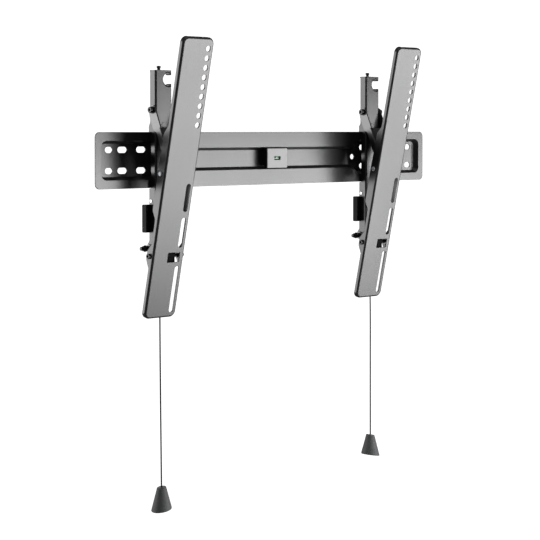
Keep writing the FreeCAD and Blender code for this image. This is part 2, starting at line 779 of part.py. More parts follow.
def catch_span():
    """The catch plate's front and back, just behind the wall plate's bottom flange."""
    front = -PLATE_DEPTH + PLATE_SHEET + CATCH_GAP
    return front, front + CATCH_THICKNESS


def nose_bottom():
    """The height of the flat underside of the latch block's nose."""
    return (LATCH_TOP + LATCH_BOTTOM) / 2 - LATCH_NOSE_HEIGHT / 2


def latch_block():
    half = LATCH_HALF_WIDTH
    body = box(-half, half, LATCH_FRONT, LATCH_REAR, LATCH_BOTTOM, LATCH_TOP)
    body = body.makeFillet(LATCH_EDGE, edges_where(body, lambda b: b.XLength > half))
    nose_low = nose_bottom()
    nose_high = nose_low + LATCH_NOSE_HEIGHT
    nose_half = LATCH_NOSE_HALF_WIDTH
    nose_points = [
        (LATCH_FRONT + 1.0, nose_low, 0),
        (LATCH_NOSE_FRONT, nose_low, 1.5),
        (LATCH_NOSE_FRONT, nose_high - 6.0, 3.0),
        (LATCH_FRONT + 1.0, nose_high, 0),
    ]
    block = body.fuse(side_prism(nose_points, -nose_half, nose_half)).removeSplitter()
    wall_outer = BRACKET_HALF_WIDTH + LATCH_GROOVE_CLEARANCE
    wall_inner = BRACKET_HALF_WIDTH - BRACKET_SHEET - LATCH_GROOVE_CLEARANCE
    groove_back = BRACKET_REAR_LOWER + LATCH_GROOVE_CLEARANCE
    grooves = []
    for side in (-1, 1):
        low, high = sorted((side * wall_inner, side * wall_outer))
        grooves.append(
            box(low, high, LATCH_FRONT - 1, groove_back, LATCH_BOTTOM - 1, LATCH_TOP + 1)
        )
    front, back = catch_span()
    pocket = box(
        -CATCH_HALF_WIDTH - CATCH_FIT,
        CATCH_HALF_WIDTH + CATCH_FIT,
        front - CATCH_FIT,
        back + CATCH_FIT,
        LATCH_TOP - CATCH_SEAT,
        LATCH_TOP + 1,
    )
    socket = z_cylinder(
        CORD_DIAMETER / 2 + CORD_FIT, nose_low - 1, nose_low + CORD_INSERT, 0, CORD_START_Y
    )
    return block.cut(Part.makeCompound(grooves + [pocket, socket])).removeSplitter()


def latch_catch():
    front, back = catch_span()
    low = LATCH_TOP - CATCH_SEAT
    high = -PLATE_HEIGHT / 2 + CATCH_OVERLAP
    points = rectangle(-CATCH_HALF_WIDTH, CATCH_HALF_WIDTH, low, high, 1.5)
    catch = front_prism(points, front, back)
    top = edges_where(catch, lambda b: b.ZMin > high - 0.01 and b.YMax < front + 0.01)
    return catch.makeChamfer(CATCH_THICKNESS * 0.6, top)


def latch_pin():
    half = BRACKET_HALF_WIDTH
    shank = x_cylinder(LATCH_PIN_RADIUS, -half - 0.5, half + 0.5, LATCH_PIN_Y, LATCH_PIN_Z)
    heads = []
    for side in (-1, 1):
        low, high = sorted((side * half, side * (half + 0.9)))
        head = x_cylinder(LATCH_PIN_HEAD, low, high, LATCH_PIN_Y, LATCH_PIN_Z)
        rim = edges_where(head, lambda b, s=side: abs(b.Center.x - s * (half + 0.9)) < 0.01)
        heads.append(head.makeFillet(0.5, rim))
    return fuse_all([shank] + heads)


def latch_spring():
    low = BRACKET_WEB_END + 1.0 + SPRING_TAB_THICKNESS + SPRING_END_GAP
    high = nose_bottom() - SPRING_END_GAP
    wire = SPRING_WIRE / 2
    height = high - low - SPRING_WIRE
    helix = Part.makeHelix(height / SPRING_TURNS, height, SPRING_RADIUS)
    start = V(SPRING_RADIUS, 0, 0)
    section = Part.Wire(Part.makeCircle(wire, start, V(0, 1, 0)))
    coil = Part.Wire(helix).makePipeShell([section], True, True)
    coil.translate(V(0, SPRING_Y, low + wire))
    return coil


def cord_points(handle_top):
    """The cord's route from the latch block to its handle, measured from the bracket's middle."""
    return [
        V(0, CORD_START_Y, nose_bottom() + CORD_INSERT - 0.1),
        V(0.1, CORD_LOW_Y, -185.0),
        V(0.3, CORD_LOW_Y - 0.2, -262.0),
        V(0.2, CORD_LOW_Y - 1.5, -375.0),
        V(0.1, HANDLE_AXIS_Y, handle_top - HANDLE_INSERT),
    ]


def pull_cord(name, handle_top):
    points = cord_points(handle_top)
    edges = []
    length = 0.0
    start = points[0]
    for i in range(1, len(points) - 1):
        back = points[i - 1] - points[i]
        ahead = points[i + 1] - points[i]
        turn = math.pi - back.getAngle(ahead)
        shorter = min(back.Length, ahead.Length)
        radius = 0.45 * shorter / math.tan(turn / 2)
        reach = radius * math.tan(turn / 2)
        back.normalize()
        ahead.normalize()
        bisector = (back + ahead).normalize()
        half = (math.pi - turn) / 2
        enter = points[i] + back * reach
        leave = points[i] + ahead * reach
        middle = points[i] + bisector * (radius / math.sin(half) - radius)
        edges.append(Part.LineSegment(start, enter).toShape())
        edges.append(Part.Arc(enter, middle, leave).toShape())
        length += (enter - start).Length + radius * turn
        start = leave
        print(f"{name} bend {i}: radius {radius:.0f} mm")
    edges.append(Part.LineSegment(start, points[-1]).toShape())
    length += (points[-1] - start).Length
    path = Part.Wire(edges)
    direction = points[1] - points[0]
    section = Part.Wire(Part.makeCircle(CORD_DIAMETER / 2, points[0], direction))
    cord = path.makePipeShell([section], True, True)
    expected = math.pi * CORD_DIAMETER ** 2 / 4 * length
    print(f"{name}: length {length:.1f} mm, volume ratio {cord.Volume / expected:.4f}")
    return cord


def pull_handle(top):
    bottom = top - HANDLE_HEIGHT
    outline = [
        (0.0, top, 0),
        (HANDLE_TOP_RADIUS, top, HANDLE_EDGE),
        (HANDLE_BOTTOM_RADIUS, bottom + 2.0, HANDLE_EDGE),
        (HANDLE_BOTTOM_RADIUS - 0.8, bottom, 0.8),
        (HANDLE_BOTTOM_RADIUS - 3.0, bottom, 0.5),
        (HANDLE_BOTTOM_RADIUS - 4.0, bottom + HANDLE_RECESS, 0.5),
        (0.0, bottom + HANDLE_RECESS, 0),
    ]
    half_section = Part.Face(rounded_wire(outline, lambda r, z: V(r, 0, z)))
    cone = half_section.revolve(V(0, 0, 0), V(0, 0, 1), 360)
    bore = z_cylinder(CORD_DIAMETER / 2 + HANDLE_BORE_FIT, top - HANDLE_INSERT - 0.1, top + 1, 0, 0)
    cone = cone.cut(bore)
    cone.translate(V(0.1, HANDLE_AXIS_Y, 0))
    return cone


def moved(shape, x):
    """A copy of a piece carried along X."""
    copy = shape.copy()
    copy.translate(V(x, 0, 0))
    return copy


def side_nodes(side, arm_x, handle_top):
    """Every piece of one arm with its bracket, keyed by node name."""
    bracket_x = arm_x + MECHANISM_OFFSET
    upper_length, upper_lean = link_geometry(UPPER_PIVOT, arm_point(*ARM_UPPER_PIVOT))
    lower_length, lower_lean = link_geometry(LOWER_PIVOT, arm_point(*ARM_LOWER_PIVOT))
    lean = math.radians(lower_lean)
    dy, dz = OPEN_PIVOT_SHIFT
    shift = (
        dy * math.cos(lean) - dz * math.sin(lean),
        dy * math.sin(lean) + dz * math.cos(lean),
    )
    on_bracket = {
        "hook_bracket": hook_bracket(),
        "height_screw": height_screw(),
        "upper_pivot_washers": upper_pivot_washers(),
        "upper_pivot_bolt": upper_pivot_bolt(),
        "upper_pivot_nut": upper_pivot_nut(),
        "lower_bracket_bolt": lower_bracket_bolt(),
        "lower_bracket_nut": lower_bracket_nut(),
        "latch_block": latch_block(),
        "latch_catch": latch_catch(),
        "latch_pin": latch_pin(),
        "latch_spring": latch_spring(),
        "pull_cord": pull_cord(side + "_pull_cord", handle_top),
        "pull_handle": pull_handle(handle_top),
    }
    on_arm = {
        "tilt_arm": tilt_arm(),
        "middle_rivets": middle_rivets(),
        "middle_spacers": spacers(UPPER_PIN_RADIUS, ARM_UPPER_PIVOT),
        "lower_arm_bolt": lower_arm_bolt(),
        "lower_arm_nut": lower_arm_nut(),
        "lower_spacers": spacers(LOWER_PIN_RADIUS, ARM_LOWER_PIVOT),
    }
    nodes = {name: moved(shape, bracket_x) for name, shape in on_bracket.items()}
    for name, shape in on_arm.items():
        nodes[name] = arm_to_row(shape, arm_x)
    upper = upper_link(upper_length)
    lower = lower_link(lower_length, shift)
    nodes["upper_link"] = link_to_row(upper, UPPER_PIVOT, upper_lean, bracket_x)
    nodes["lower_link"] = link_to_row(lower, LOWER_PIVOT, lower_lean, bracket_x)
    return {side + "_" + name: shape for name, shape in nodes.items()}


def main():
    os.makedirs("parts", exist_ok=True)
    nodes = {
        "wall_plate": wall_plate(),
        "level_housing": level_housing(),
        "level_face": level_face(),
        "level_vial": level_vial(),
    }
    nodes.update(side_nodes("left", LEFT_ARM_X, LEFT_HANDLE_TOP))
    nodes.update(side_nodes("right", RIGHT_ARM_X, RIGHT_HANDLE_TOP))
    for name, shape in nodes.items():
        if not shape.isValid():
            print(f"{name} is not a valid solid")
        shape.exportStep(f"parts/{name}.step")
    print(f"{len(nodes)} nodes")


main()
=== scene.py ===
import math

import bmesh
import bpy
from mathutils import Matrix, Vector


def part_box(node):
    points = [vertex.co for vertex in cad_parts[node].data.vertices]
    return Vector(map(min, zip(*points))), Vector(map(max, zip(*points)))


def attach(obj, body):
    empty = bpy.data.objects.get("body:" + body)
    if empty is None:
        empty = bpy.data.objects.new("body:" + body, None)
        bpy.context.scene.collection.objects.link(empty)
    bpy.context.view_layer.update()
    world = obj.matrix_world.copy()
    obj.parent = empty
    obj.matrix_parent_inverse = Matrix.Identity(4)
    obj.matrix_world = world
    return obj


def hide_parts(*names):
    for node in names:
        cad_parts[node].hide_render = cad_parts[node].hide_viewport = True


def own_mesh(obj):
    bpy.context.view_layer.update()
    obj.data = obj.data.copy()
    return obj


bl_info = {
    "name": "Tilting wall bracket looks",
    "version": (1, 0, 0),
    "blender": (4, 5, 0),
    "location": "3D View > Sidebar > Bracket",
    "description": "Dresses a tilting wall bracket with its coats, cords and level",
    "category": "Object",
}

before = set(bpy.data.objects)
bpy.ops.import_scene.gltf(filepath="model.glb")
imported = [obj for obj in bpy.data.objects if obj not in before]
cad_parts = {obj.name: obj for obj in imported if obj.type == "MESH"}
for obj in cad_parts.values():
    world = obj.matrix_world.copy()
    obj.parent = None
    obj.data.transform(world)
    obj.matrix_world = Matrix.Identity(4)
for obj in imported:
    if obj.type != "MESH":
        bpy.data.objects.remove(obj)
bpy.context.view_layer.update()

SIDES = ("left", "right")
BRACKET_X = {"left": -0.245, "right": 0.225}

# The cone on each cord, and how far the cord goes into it
HANDLE_TOP = {"left": -0.5175, "right": -0.4945}
HANDLE_AXIS_Y = -0.0171
HANDLE_INSERT = 0.006
HANDLE_HOLLOW = 0.0016
BORE_CLEARANCE = 0.0001
BORE_DEPTH = 0.004

STRANDS_EACH_WAY = 4
# The free cord's route from the latch block down, as (y, z) points
CORD_ROUTE = (
    (-0.0130, -0.1041),
    (-0.0124, -0.185),
    (-0.0126, -0.262),
    (-0.0139, -0.375),
)
# How far each cord strays sideways at those points, and last in its handle
CORD_DRIFT = {
    "left": (0.0, -0.0006, -0.0007, -0.0008, -0.0016),
    "right": (0.0, 0.0033, 0.0059, 0.0046, 0.0018),
}

# The return spring under each latch: its wire's radius and its number of turns
SPRING_WIRE_RADIUS = 0.0004
SPRING_TURNS = 5.0

# The height screw's thread: where it starts, and the length it leaves plain
THREAD_RADIUS = 0.0025
THREAD_CREST_RADIUS = 0.00022
THREAD_START = 0.0012
PLAIN_LENGTH = 0.009

# The small end faces that close a turned solid at its axis
AXIS_RADIUS = 0.0002

# The reading lines round the vial
LINE_GAP = 0.0006
LINE_HALF_WIDTH = 0.00018
LINE_RISE = 0.00006
LINE_DEPTH = 0.0002

# Lock nut on the lower stud, outwards: (radius, end, sides) of hexagon, collar, stud
LOCK_NUT_STEPS = (
    (0.0052, 0.0052, 6),
    (0.0043, 0.0074, 30),
    (0.0030, 0.0118, 24),
)
LOCK_NUT_BEVEL = 0.0005

# The guard on the lower arm bolt, from the bolt's axis in the bracket's middle: the
# sleeve's ends and radii, then each tongue's (first edge, last edge, foot)
GUARD_ENDS = (-0.0120, 0.0105)
GUARD_RADII = (0.0026, 0.0041)
GUARD_TONGUES = ((-0.0120, -0.0034, -0.0182), (-0.0012, 0.0105, -0.0132))
TONGUE_TOP = -0.0030
TONGUE_FACES = (-0.0012, 0.0016)
TONGUE_CORNER = 0.0016

# The photograph's view: what the camera aims at, its sensor, lens and shift
CAMERA_AIM = (-0.0184, -0.0213, -0.0305)
SENSOR_WIDTH = 36.0
FOCAL_LENGTH = 107.2
LENS_SHIFT = -0.1731

# Softboxes: (name, place, width, height, which power, share of that power)
SOFTBOXES = (
    ("front_softbox", (1.18, -1.64, -0.12), 1.7, 0.36, "key_power", 0.345),
    ("lower_front_softbox", (1.18, -1.64, -0.74), 1.7, 0.84, "key_power", 0.57),
    ("low_fill", (1.18, -1.64, -1.60), 1.7, 0.90, "key_power", 0.11),
    ("rear_softbox", (-1.45, 1.55, 0.05), 1.7, 1.7, "rim_power", 1.0),
    ("wall_side_softbox", (1.60, 1.50, 0.10), 1.7, 1.7, "wall_power", 1.0),
    ("overhead_softbox", (-0.4, -0.8, 2.3), 2.2, 2.2, "top_power", 1.0),
)
STUDIO_AIR_STRENGTH = 0.15
FLOOR_RADIUS = 5.0
BACKDROP_BEND = 1.5
BACKDROP_HEIGHT = 7.0

POWDER_COATED = ("hook_bracket", "tilt_arm", "latch_catch")
GLOSSY_COATED = ("upper_link", "lower_link")
ZINC_PLATED = ("latch_pin", "latch_spring", "middle_rivets")
BLACKENED = (
    "height_screw",
    "lower_bracket_bolt",
    "lower_bracket_nut",
    "lower_spacers",
    "middle_spacers",
    "upper_pivot_washers",
    "upper_pivot_bolt",
    "upper_pivot_nut",
    "lower_arm_bolt",
    "lower_arm_nut",
)

COLOUR = {"subtype": "COLOR", "size": 4, "min": 0.0, "max": 1.0}


class BracketSizes(bpy.types.PropertyGroup):
    """Sizes of the pieces that are made here rather than carried over."""

    cord_diameter: bpy.props.FloatProperty(
        name="Cord diameter",
        description="Thickness of the braided pull cord",
        default=0.0024,
        unit="LENGTH",
    )
    braid_pitch: bpy.props.FloatProperty(
        name="Braid pitch",
        description="Length of one full turn of a strand round the cord",
        default=0.009,
        unit="LENGTH",
    )
    thread_pitch: bpy.props.FloatProperty(
        name="Thread pitch",
        description="Distance between the crests of the screw threads",
        default=0.0009,
        unit="LENGTH",
    )
    handle_height: bpy.props.FloatProperty(
        name="Handle height",
        description="Height of the cone on the end of each cord",
        default=0.036,
        unit="LENGTH",
    )
    handle_top_radius: bpy.props.FloatProperty(
        name="Handle top radius",
        description="Radius of the cone where the cord goes in",
        default=0.0073,
        unit="LENGTH",
    )
    handle_bottom_radius: bpy.props.FloatProperty(
        name="Handle bottom radius",
        description="Radius of the cone at its foot",
        default=0.0165,
        unit="LENGTH",
    )
    handle_lean: bpy.props.FloatProperty(
        name="Handle lean",
        description="Slope of the handle's top and foot, down towards the plate's end",
        default=0.17,
    )
    bubble_length: bpy.props.FloatProperty(
        name="Bubble length",
        description="Length of the air bubble in the level",
        default=0.0052,
        unit="LENGTH",
    )


class BracketFinishes(bpy.types.PropertyGroup):
    """Colours and surface values of the bracket's materials."""

    coat: bpy.props.FloatVectorProperty(
        name="Powder coat",
        description="Colour of the powder coat on the pressed steel",
        default=(0.012, 0.012, 0.013, 1.0),
        **COLOUR,
    )
    coat_roughness: bpy.props.FloatProperty(
        name="Powder coat roughness",
        description="How much the powder coat spreads its reflections",
        default=0.30,
        min=0.0,
        max=1.0,
    )
    zinc: bpy.props.FloatVectorProperty(
        name="Zinc",
        description="Colour of the bright zinc plate on pins and screws",
        default=(0.82, 0.88, 0.92, 1.0),
        **COLOUR,
    )
    black_oxide: bpy.props.FloatVectorProperty(
        name="Black oxide",
        description="Colour of the blackened bolts",
        default=(0.03, 0.03, 0.032, 1.0),
        **COLOUR,
    )
    latch_plastic: bpy.props.FloatVectorProperty(
        name="Latch plastic",
        description="Colour of the moulded latch blocks",
        default=(0.008, 0.008, 0.0085, 1.0),
        **COLOUR,
    )
    cord: bpy.props.FloatVectorProperty(
        name="Cord",
        description="Colour of the braided cord",
        default=(0.007, 0.007, 0.0075, 1.0),
        **COLOUR,
    )
    handle: bpy.props.FloatVectorProperty(
        name="Handle",
        description="Colour of the moulded cord handles",
        default=(0.080, 0.081, 0.083, 1.0),
        **COLOUR,
    )
    level: bpy.props.FloatVectorProperty(
        name="Level housing",
        description="Colour of the level's housing",
        default=(0.33, 0.33, 0.33, 1.0),
        **COLOUR,
    )
    fluid: bpy.props.FloatVectorProperty(
        name="Level fluid",
        description="Colour of the fluid in the vial",
        default=(0.02, 0.09, 0.035, 1.0),
        **COLOUR,
    )


class StudioSetup(bpy.types.PropertyGroup):
    """Camera, lights and floor."""

    azimuth: bpy.props.FloatProperty(
        name="Azimuth",
        description="Camera's turn about the vertical",
        default=math.radians(-42.3),
        unit="ROTATION",
    )
    elevation: bpy.props.FloatProperty(
        name="Elevation",
        description="Camera's height above the level",
        default=math.radians(1.67),
        unit="ROTATION",
    )
    distance: bpy.props.FloatProperty(
        name="Distance",
        description="From the camera to the point it looks at",
        default=2.68,
        unit="LENGTH",
    )
    floor_height: bpy.props.FloatProperty(
        name="Floor height",
        description="Height of the floor below the wall plate's middle",
        default=-1.75,
        unit="LENGTH",
    )
    key_power: bpy.props.FloatProperty(
        name="Front softboxes",
        description="Power of the three front right softboxes",
        default=71.0,
    )
    rim_power: bpy.props.FloatProperty(
        name="Rear softbox",
        description="Power of the rear left softbox",
        default=42.0,
    )
    wall_power: bpy.props.FloatProperty(
        name="Wall side softbox",
        description="Power of the rear right softbox",
        default=30.0,
    )
    top_power: bpy.props.FloatProperty(
        name="Overhead softbox",
        description="Power of the softbox overhead",
        default=8.0,
    )


class Wire:
    """A value that travels through a material's nodes and can be used in sums."""

    def __init__(self, finish, socket):
        self.finish = finish
        self.socket = socket

    def maths(self, operation, first, second=None):
        inputs = {0: first}
        if second is not None:
            inputs[1] = second
        return self.finish.node("ShaderNodeMath", {"operation": operation}, inputs)

    def __add__(self, other):
        return self.maths("ADD", self, other)

    def __radd__(self, other):
        return self.maths("ADD", other, self)

    def __sub__(self, other):
        return self.maths("SUBTRACT", self, other)

    def __rsub__(self, other):
        return self.maths("SUBTRACT", other, self)

    def __mul__(self, other):
        return self.maths("MULTIPLY", self, other)

    def __rmul__(self, other):
        return self.maths("MULTIPLY", other, self)

    def sine(self):
        return self.maths("SINE", self)

    def maximum(self, other):
        return self.maths("MAXIMUM", self, other)


class Finish:
    """A material being built, with its surface shader and one way to add nodes."""

    def __init__(self, name, **values):
        self.material = bpy.data.materials.new(name)
        self.material.use_nodes = True
        self.tree = self.material.node_tree
        self.shader = self.tree.nodes["Principled BSDF"]
        for socket_name, value in values.items():
            self.shader.inputs[socket_name.replace("_", " ")].default_value = value

    def node(self, kind, settings=None, inputs=None, output=0):
        made = self.tree.nodes.new(kind)
        for key, value in (settings or {}).items():
            if key == "stops":
                ramp = made.color_ramp
                for element, (position, grey) in zip(ramp.elements, value):
                    element.position = position
                    element.color = (grey, grey, grey, 1.0)
            else:
                setattr(made, key, value)
        for key, value in (inputs or {}).items():
            if isinstance(value, Wire):
                self.tree.links.new(value.socket, made.inputs[key])
            else:
                made.inputs[key].default_value = value
        return Wire(self, made.outputs[output])

    def feed(self, socket_name, wire):
        self.tree.links.new(wire.socket, self.shader.inputs[socket_name])

    def place(self):
        return self.node("ShaderNodeTexCoord", output="Object")

    def noise(self, scale, detail=2.0, place=None):
        inputs = {"Vector": place or self.place(), "Scale": scale, "Detail": detail}
        return self.node("ShaderNodeTexNoise", inputs=inputs)

    def stretched(self, scale):
        return self.node(
            "ShaderNodeMapping", inputs={"Vector": self.place(), "Scale": scale}
        )

    def between(self, amount, low, high):
        inputs = {0: amount, 6: low, 7: high}
        return self.node("ShaderNodeMix", {"data_type": "RGBA"}, inputs, output=2)

    def step(self, amount, low, high):
        return self.node(
            "ShaderNodeValToRGB", {"stops": ((low, 0.0), (high, 1.0))}, {0: amount}
        )

    def bump(self, height, strength, distance, edge=0.0):
        inputs = {"Height": height, "Strength": strength, "Distance": distance}
        if edge > 0:
            inputs["Normal"] = self.node(
                "ShaderNodeBevel", {"samples": 6}, {"Radius": edge}
            )
        self.feed("Normal", self.node("ShaderNodeBump", inputs=inputs))


def shade(colour, factor):
    """A colour made darker or lighter."""
    return tuple(min(c * factor, 1.0) for c in colour[:3]) + (1.0,)


def powder_coat(looks, name="powder_coat", shine=0.6):
    coat = Finish(name, Specular_IOR_Level=shine)
    clouds = coat.noise(scale=9.0, detail=3.0)
    peel = coat.noise(scale=1100.0)
    grain = coat.noise(scale=4200.0, detail=1.0)
    dust = coat.step(coat.noise(scale=320.0, detail=4.0), low=0.70, high=0.78)
    dusty = (0.20, 0.20, 0.20, 1.0)
    tone = coat.between(clouds, shade(looks.coat, 0.8), shade(looks.coat, 1.3))
    coat.feed("Base Color", coat.between(dust * 0.10, tone, dusty))
    coat.feed("Roughness", looks.coat_roughness + (clouds - 0.5) * 0.10 + dust * 0.08)
    coat.bump(peel * 0.7 + grain * 0.3, strength=0.16, distance=0.00012, edge=0.0006)
    return coat.material


def zinc_plate(looks):
    zinc = Finish("zinc_plate", Metallic=0.9)
    patches = zinc.noise(scale=260.0, detail=4.0)
    lines = zinc.noise(scale=900.0, place=zinc.stretched((6.0, 1.0, 1.0)))
    zinc.feed("Base Color", zinc.between(patches, shade(looks.zinc, 0.72), looks.zinc))
    zinc.feed("Roughness", 0.30 + patches * 0.16)
    zinc.bump(lines, strength=0.12, distance=0.00008, edge=0.0003)
    return zinc.material


def blackened_steel(looks):
    black = Finish("blackened_steel", Metallic=0.6)
    patches = black.noise(scale=300.0, detail=3.0)
    worn = black.step(black.noise(scale=700.0, detail=3.0), low=0.66, high=0.80)
    dark, light = shade(looks.black_oxide, 0.7), shade(looks.black_oxide, 1.4)
    bare_steel = (0.35, 0.34, 0.33, 1.0)
    tone = black.between(patches, dark, light)
    black.feed("Base Color", black.between(worn * 0.25, tone, bare_steel))
    black.feed("Roughness", 0.28 + patches * 0.15)
    black.bump(patches, strength=0.10, distance=0.0001, edge=0.0003)
    return black.material


def moulded_plastic(name, colour, roughness, grain, relief, shine=0.5):
    """A moulding with a fine grain: how many bumps to the metre, and their strength."""
    plastic = Finish(name, Specular_IOR_Level=shine)
    bumps = plastic.noise(scale=grain)
    flow = plastic.noise(scale=24.0, detail=3.0)
    tone = plastic.between(flow, shade(colour, 0.85), shade(colour, 1.15))
    plastic.feed("Base Color", tone)
    plastic.feed("Roughness", roughness + (flow - 0.5) * 0.12)
    plastic.bump(bumps, strength=relief, distance=0.0001, edge=0.0004)
    return plastic.material


def braided_cord(looks, pitch):
    """Two families of strands crossing, drawn by the cord's own length and turn."""
    braid = Finish("braided_cord", Specular_IOR_Level=0.10)
    uv = braid.node("ShaderNodeUVMap", {"uv_map": "route"})
    along = braid.node("ShaderNodeSeparateXYZ", inputs={0: uv}, output=0)
    turn = braid.node("ShaderNodeSeparateXYZ", inputs={0: uv}, output=1)
    waves = 2 * math.pi * STRANDS_EACH_WAY
    left_lay = (along * (waves / pitch) + turn * waves).sine()
    right_lay = (along * (waves / pitch) - turn * waves).sine()
    strands = left_lay.maximum(right_lay) * 0.5 + 0.5
    fuzz = braid.noise(scale=5200.0)
    # The strands' height also sets the base colour: lighter on their crests and darker
    # in the grooves between them, which is painted shade; the fuzz is the cord's own
    # random tone
    dark, light = shade(looks.cord, 0.4), shade(looks.cord, 1.6)
    braid.feed("Base Color", braid.between(strands * 0.8 + fuzz * 0.2, dark, light))
    braid.feed("Roughness", 0.72 + fuzz * 0.2)
    braid.bump(strands + fuzz * 0.25, strength=0.7, distance=0.0002)
    return braid.material


def level_fluid(looks):
    fluid = Finish("level_fluid", Coat_Weight=0.3, Coat_Roughness=0.05)
    depth = fluid.noise(scale=120.0)
    tone = fluid.between(depth, shade(looks.fluid, 0.85), shade(looks.fluid, 1.2))
    fluid.feed("Base Color", tone)
    fluid.feed("Roughness", 0.12 + depth * 0.06)
    fluid.bump(depth, strength=0.05, distance=0.0001)
    return fluid.material


def air_bubble():
    air = Finish("air_bubble", Coat_Weight=0.15, Coat_Roughness=0.1)
    ripple = air.noise(scale=400.0)
    dark, light = (0.24, 0.42, 0.28, 1.0), (0.36, 0.52, 0.40, 1.0)
    air.feed("Base Color", air.between(ripple, dark, light))
    air.feed("Roughness", 0.40 + ripple * 0.05)
    return air.material


def pale_floor():
    floor = Finish("pale_floor", Emission_Strength=1.1)
    haze = floor.noise(scale=1.5)
    tone = floor.between(haze, (0.88, 0.88, 0.88, 1.0), (0.92, 0.92, 0.92, 1.0))
    floor.feed("Base Color", tone)
    floor.feed("Emission Color", tone)
    floor.feed("Roughness", 0.75 + haze * 0.1)
    return floor.material


def coat_node(node, material):
    """Gives one carried-over node its better material."""
    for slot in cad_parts[node].material_slots:
        slot.material = material


def finished_mesh(name, mesh, material, body):
    """Makes a mesh a piece with one material and one slot that rides on a body."""
    made = bpy.data.objects.new(name, mesh)
    bpy.context.scene.collection.objects.link(made)
    mesh.materials.clear()
    mesh.materials.append(material)
    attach(made, body)
    return made


def closed_mesh(name, build, smooth=True):
    """Builds a shape and returns it as a clean mesh that faces outwards."""
    shape = bmesh.new()
    build(shape)
    bmesh.ops.remove_doubles(shape, verts=shape.verts, dist=1e-7)
    bmesh.ops.recalc_face_normals(shape, faces=shape.faces)
    for face in shape.faces:
        face.smooth = smooth
    mesh = bpy.data.meshes.new(name)
    shape.to_mesh(mesh)
    shape.free()
    return mesh


def lay_along_x(shape, centre, turn=math.pi / 2):
    """Lays a shape that was turned about the vertical along X, at its place."""
    place = Matrix.Translation(centre) @ Matrix.Rotation(turn, 4, "Y")
    bmesh.ops.transform(shape, matrix=place, verts=shape.verts)


def lathe(shape, outline, centre=(0, 0), segments=72, capped=True):
    """Turns an outline of (radius, height) points about the vertical through centre."""
    rings = []
    for radius, height in outline:
        ring = []
        for i in range(segments):
            angle = 2 * math.pi * i / segments
            x = centre[0] + radius * math.cos(angle)
            y = centre[1] + radius * math.sin(angle)
            ring.append(shape.verts.new((x, y, height)))
        rings.append(ring)
    for low, high in zip(rings, rings[1:]):
        for i in range(segments):
            j = (i + 1) % segments
            shape.faces.new((low[i], low[j], high[j], high[i]))
    if capped:
        shape.faces.new(rings[0])
        shape.faces.new(rings[-1])


def round_corner(corner, before, after, radius, steps=5):
    """Points of a rounded corner of an outline, from its neighbours' directions."""
    corner = Vector(corner)
    one = (Vector(before) - corner).normalized()
    two = (Vector(after) - corner).normalized()
    start = corner + one * radius
    end = corner + two * radius
    points = []
    for i in range(steps + 1):
        t = i / steps
        points.append(start * (1 - t) ** 2 + corner * 2 * t * (1 - t) + end * t ** 2)
    return points


def spline_line(points):
    """The smooth line that a cord follows, as points read from a NURBS spline."""
    curve = bpy.data.curves.new("route", "CURVE")
    curve.dimensions = "3D"
    curve.resolution_u = 40
    spline = curve.splines.new("NURBS")
    spline.points.add(len(points) - 1)
    for slot, point in zip(spline.points, points):
        slot.co = (*point, 1.0)
    spline.order_u = 3
    spline.use_endpoint_u = True
    carrier = bpy.data.objects.new("route", curve)
    bpy.context.scene.collection.objects.link(carrier)
    bpy.context.view_layer.update()
    mesh = bpy.data.meshes.new_from_object(carrier)
    line = [vertex.co.copy() for vertex in mesh.vertices]
    bpy.data.objects.remove(carrier)
    bpy.data.meshes.remove(mesh)
    bpy.data.curves.remove(curve)
    return line


def tube_mesh(name, line, radius, sides=18):
    """A closed tube along a line, with its length and turn kept as a UV map."""
    shape = bmesh.new()
    route = shape.loops.layers.uv.new("route")
    rings, lengths = [], []
    travelled = 0.0
    for i, point in enumerate(line):
        ahead = (line[min(i + 1, len(line) - 1)] - line[max(i - 1, 0)]).normalized()
        across = ahead.cross(Vector((0, 1, 0))).normalized()
        up = across.cross(ahead).normalized()
        if i:
            travelled += (point - line[i - 1]).length
        lengths.append(travelled)
        ring = []
        for k in range(sides):
            angle = 2 * math.pi * k / sides
            offset = across * math.cos(angle) + up * math.sin(angle)
            ring.append(shape.verts.new(point + offset * radius))
        rings.append(ring)
    for i in range(len(rings) - 1):
        for k in range(sides):
            j = (k + 1) % sides
            near, far = rings[i], rings[i + 1]
            face = shape.faces.new((near[k], near[j], far[j], far[k]))
            face.smooth = True
            marks = ((i, k), (i, k + 1), (i + 1, k + 1), (i + 1, k))
            for loop, (step, turn) in zip(face.loops, marks):
                loop[route].uv = (lengths[step], turn / sides)
    shape.faces.new(rings[0])
    shape.faces.new(rings[-1])
    bmesh.ops.recalc_face_normals(shape, faces=shape.faces)
    mesh = bpy.data.meshes.new(name)
    shape.to_mesh(mesh)
    shape.free()
    return mesh


